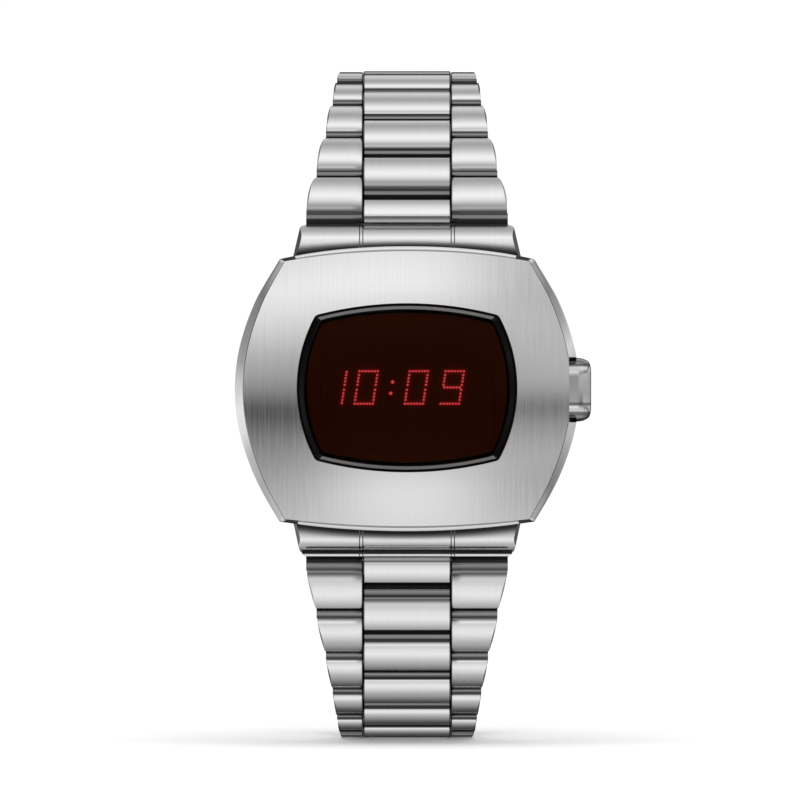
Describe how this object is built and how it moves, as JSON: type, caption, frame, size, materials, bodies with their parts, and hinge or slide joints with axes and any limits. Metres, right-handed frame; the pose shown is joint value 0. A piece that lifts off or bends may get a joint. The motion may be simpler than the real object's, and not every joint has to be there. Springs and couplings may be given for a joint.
{
  "type": "led watch",
  "caption": "Steel wristwatch with a cushion case, dark red window with dotted red digits, side push button and three-piece link bracelet closed by a folding clasp.",
  "frame": {"origin": "centre of the case back's outer face", "axes": "-Y towards the dial's front, +Z towards 12 o'clock, +X towards the push button at 3 o'clock"},
  "size_m": [0.0422, 0.0559, 0.0795],
  "materials": {
    "case_steel": "long vertical brushing, polished bevels",
    "link_steel": "satin with polished edges",
    "bright_steel": "polished",
    "spring_steel": "plain turned",
    "window_glass": "polished, dark red-brown tint",
    "led_red": "glowing red",
    "dark_ceramic": "matt dark",
    "board_green": "solder mask",
    "black_plastic": "matt",
    "black_rubber": "matt"
  },
  "bodies": {
    "case": {"case_shell": "case_steel", "crystal": "window_glass", "crystal_gasket": "black_rubber", "display_mask": "black_plastic", "led_digits": "led_red", "led_substrate": "dark_ceramic", "circuit_board": "board_green", "ic_chip": "black_plastic", "quartz_can": "bright_steel", "module_holder": "black_plastic", "battery": "bright_steel", "battery_clip": "spring_steel", "case_back": "case_steel", "case_back_gasket": "black_rubber", "case_back_screws": "bright_steel", "spring_bar_top": "spring_steel", "spring_bar_bottom": "spring_steel", "button_o_ring": "black_rubber", "button_spring": "spring_steel"},
    "button": {"push_button": "bright_steel", "button_clip": "spring_steel"},
    "top_end": {"end_link_top": "link_steel"},
    "bottom_end": {"end_link_bottom": "link_steel"},
    "top_1": {"top_row_1": "link_steel"},
    "top_2": {"top_row_2": "link_steel"},
    "top_3": {"top_row_3": "link_steel"},
    "top_4": {"top_row_4": "link_steel"},
    "top_5": {"top_row_5": "link_steel"},
    "top_6": {"top_row_6": "link_steel"},
    "top_7": {"top_row_7": "link_steel"},
    "top_8": {"top_row_8": "link_steel"},
    "top_9": {"top_row_9": "link_steel"},
    "bottom_1": {"bottom_row_1": "link_steel"},
    "bottom_2": {"bottom_row_2": "link_steel"},
    "bottom_3": {"bottom_row_3": "link_steel"},
    "bottom_4": {"bottom_row_4": "link_steel"},
    "bottom_5": {"bottom_row_5": "link_steel"},
    "bottom_6": {"bottom_row_6": "link_steel"},
    "bottom_7": {"bottom_row_7": "link_steel"},
    "bottom_8": {"bottom_row_8": "link_steel"},
    "bottom_9": {"bottom_row_9": "link_steel"},
    "bottom_10": {"bottom_row_10": "link_steel", "clasp_spring_bar": "spring_steel"},
    "clasp_inner": {"clasp_blade_inner": "link_steel", "clasp_end_pin": "spring_steel", "clasp_blade_pin": "spring_steel"},
    "clasp_middle": {"clasp_blade_middle": "link_steel"},
    "clasp_cover_body": {"clasp_cover": "link_steel", "clasp_cover_pin": "spring_steel"}
  },
  "joints": [
    {"name": "end_link_top_hinge", "type": "hinge", "parent": "case", "child": "top_end", "pos_m": [0, -0.0063, 0.01514], "axis": [1, 0, 0], "range_deg": [0, 20]},
    {"name": "end_link_bottom_hinge", "type": "hinge", "parent": "case", "child": "bottom_end", "pos_m": [0, -0.0063, -0.01514], "axis": [-1, 0, 0], "range_deg": [0, 11]},
    {"name": "top_row_1_hinge", "type": "hinge", "parent": "top_end", "child": "top_1", "pos_m": [0, -0.00304, 0.02065], "axis": [1, 0, 0], "range_deg": [0, 8.52]},
    {"name": "top_row_2_hinge", "type": "hinge", "parent": "top_1", "child": "top_2", "pos_m": [0, 0.00099, 0.02562], "axis": [1, 0, 0], "range_deg": [0, 6.96]},
    {"name": "top_row_3_hinge", "type": "hinge", "parent": "top_2", "child": "top_3", "pos_m": [0, 0.0056, 0.03006], "axis": [1, 0, 0], "range_deg": [0, 10.36]},
    {"name": "top_row_4_hinge", "type": "hinge", "parent": "top_3", "child": "top_4", "pos_m": [0, 0.01093, 0.0336], "axis": [1, 0, 0], "range_deg": [0, 12.26]},
    {"name": "top_row_5_hinge", "type": "hinge", "parent": "top_4", "child": "top_5", "pos_m": [0, 0.01689, 0.03593], "axis": [1, 0, 0], "range_deg": [0, 18.96]},
    {"name": "top_row_6_hinge", "type": "hinge", "parent": "top_5", "child": "top_6", "pos_m": [0, 0.02329, 0.03619], "axis": [1, 0, 0], "range_deg": [0, 19.54]},
    {"name": "top_row_7_hinge", "type": "hinge", "parent": "top_6", "child": "top_7", "pos_m": [0, 0.0294, 0.0343], "axis": [1, 0, 0], "range_deg": [0, 18.95]},
    {"name": "top_row_8_hinge", "type": "hinge", "parent": "top_7", "child": "top_8", "pos_m": [0, 0.03457, 0.03053], "axis": [1, 0, 0], "range_deg": [0, 18.2]},
    {"name": "top_row_9_hinge", "type": "hinge", "parent": "top_8", "child": "top_9", "pos_m": [0, 0.0383, 0.02533], "axis": [1, 0, 0], "range_deg": [0, 17.82]},
    {"name": "bottom_row_1_hinge", "type": "hinge", "parent": "bottom_end", "child": "bottom_1", "pos_m": [0, -0.00404, -0.02113], "axis": [-1, 0, 0], "range_deg": [0, 10.51]},
    {"name": "bottom_row_2_hinge", "type": "hinge", "parent": "bottom_1", "child": "bottom_2", "pos_m": [0, -0.00073, -0.0266], "axis": [-1, 0, 0], "range_deg": [0, 10.87]},
    {"name": "bottom_row_3_hinge", "type": "hinge", "parent": "bottom_2", "child": "bottom_3", "pos_m": [0, 0.00356, -0.03136], "axis": [-1, 0, 0], "range_deg": [0, 9.33]},
    {"name": "bottom_row_4_hinge", "type": "hinge", "parent": "bottom_3", "child": "bottom_4", "pos_m": [0, 0.00856, -0.03535], "axis": [-1, 0, 0], "range_deg": [0, 12.24]},
    {"name": "bottom_row_5_hinge", "type": "hinge", "parent": "bottom_4", "child": "bottom_5", "pos_m": [0, 0.01429, -0.0382], "axis": [-1, 0, 0], "range_deg": [0, 12.32]},
    {"name": "bottom_row_6_hinge", "type": "hinge", "parent": "bottom_5", "child": "bottom_6", "pos_m": [0, 0.0205, -0.03976], "axis": [-1, 0, 0], "range_deg": [0, 21.2]},
    {"name": "bottom_row_7_hinge", "type": "hinge", "parent": "bottom_6", "child": "bottom_7", "pos_m": [0, 0.02685, -0.03896], "axis": [-1, 0, 0], "range_deg": [0, 22.37]},
    {"name": "bottom_row_8_hinge", "type": "hinge", "parent": "bottom_7", "child": "bottom_8", "pos_m": [0, 0.03242, -0.03581], "axis": [-1, 0, 0], "range_deg": [0, 20.33]},
    {"name": "bottom_row_9_hinge", "type": "hinge", "parent": "bottom_8", "child": "bottom_9", "pos_m": [0, 0.03655, -0.03092], "axis": [-1, 0, 0], "range_deg": [0, 16.68]},
    {"name": "bottom_row_10_hinge", "type": "hinge", "parent": "bottom_9", "child": "bottom_10", "pos_m": [0, 0.0391, -0.02505], "axis": [-1, 0, 0], "range_deg": [0, 12.96]},
    {"name": "clasp_hinge", "type": "hinge", "parent": "top_9", "child": "clasp_inner", "pos_m": [0, 0.04027, 0.01924], "axis": [1, 0, 0], "range_deg": [0, 17.86]},
    {"name": "clasp_blade_hinge", "type": "hinge", "parent": "clasp_inner", "child": "clasp_middle", "pos_m": [0, 0.03977, -0.01356], "axis": [-1, 0, 0], "range_deg": [0, 108]},
    {"name": "clasp_cover_hinge", "type": "hinge", "parent": "clasp_middle", "child": "clasp_cover_body", "pos_m": [0, 0.04072, 0.01524], "axis": [1, 0, 0], "range_deg": [0, 80]},
    {"name": "button_slide", "type": "slide", "parent": "case", "child": "button", "axis": [-1, 0, 0], "range_m": [0, 0.00035], "stiffness_N_per_m": 1500, "springref_m": -0.0005, "deforming": ["button_spring"]}
  ]
}
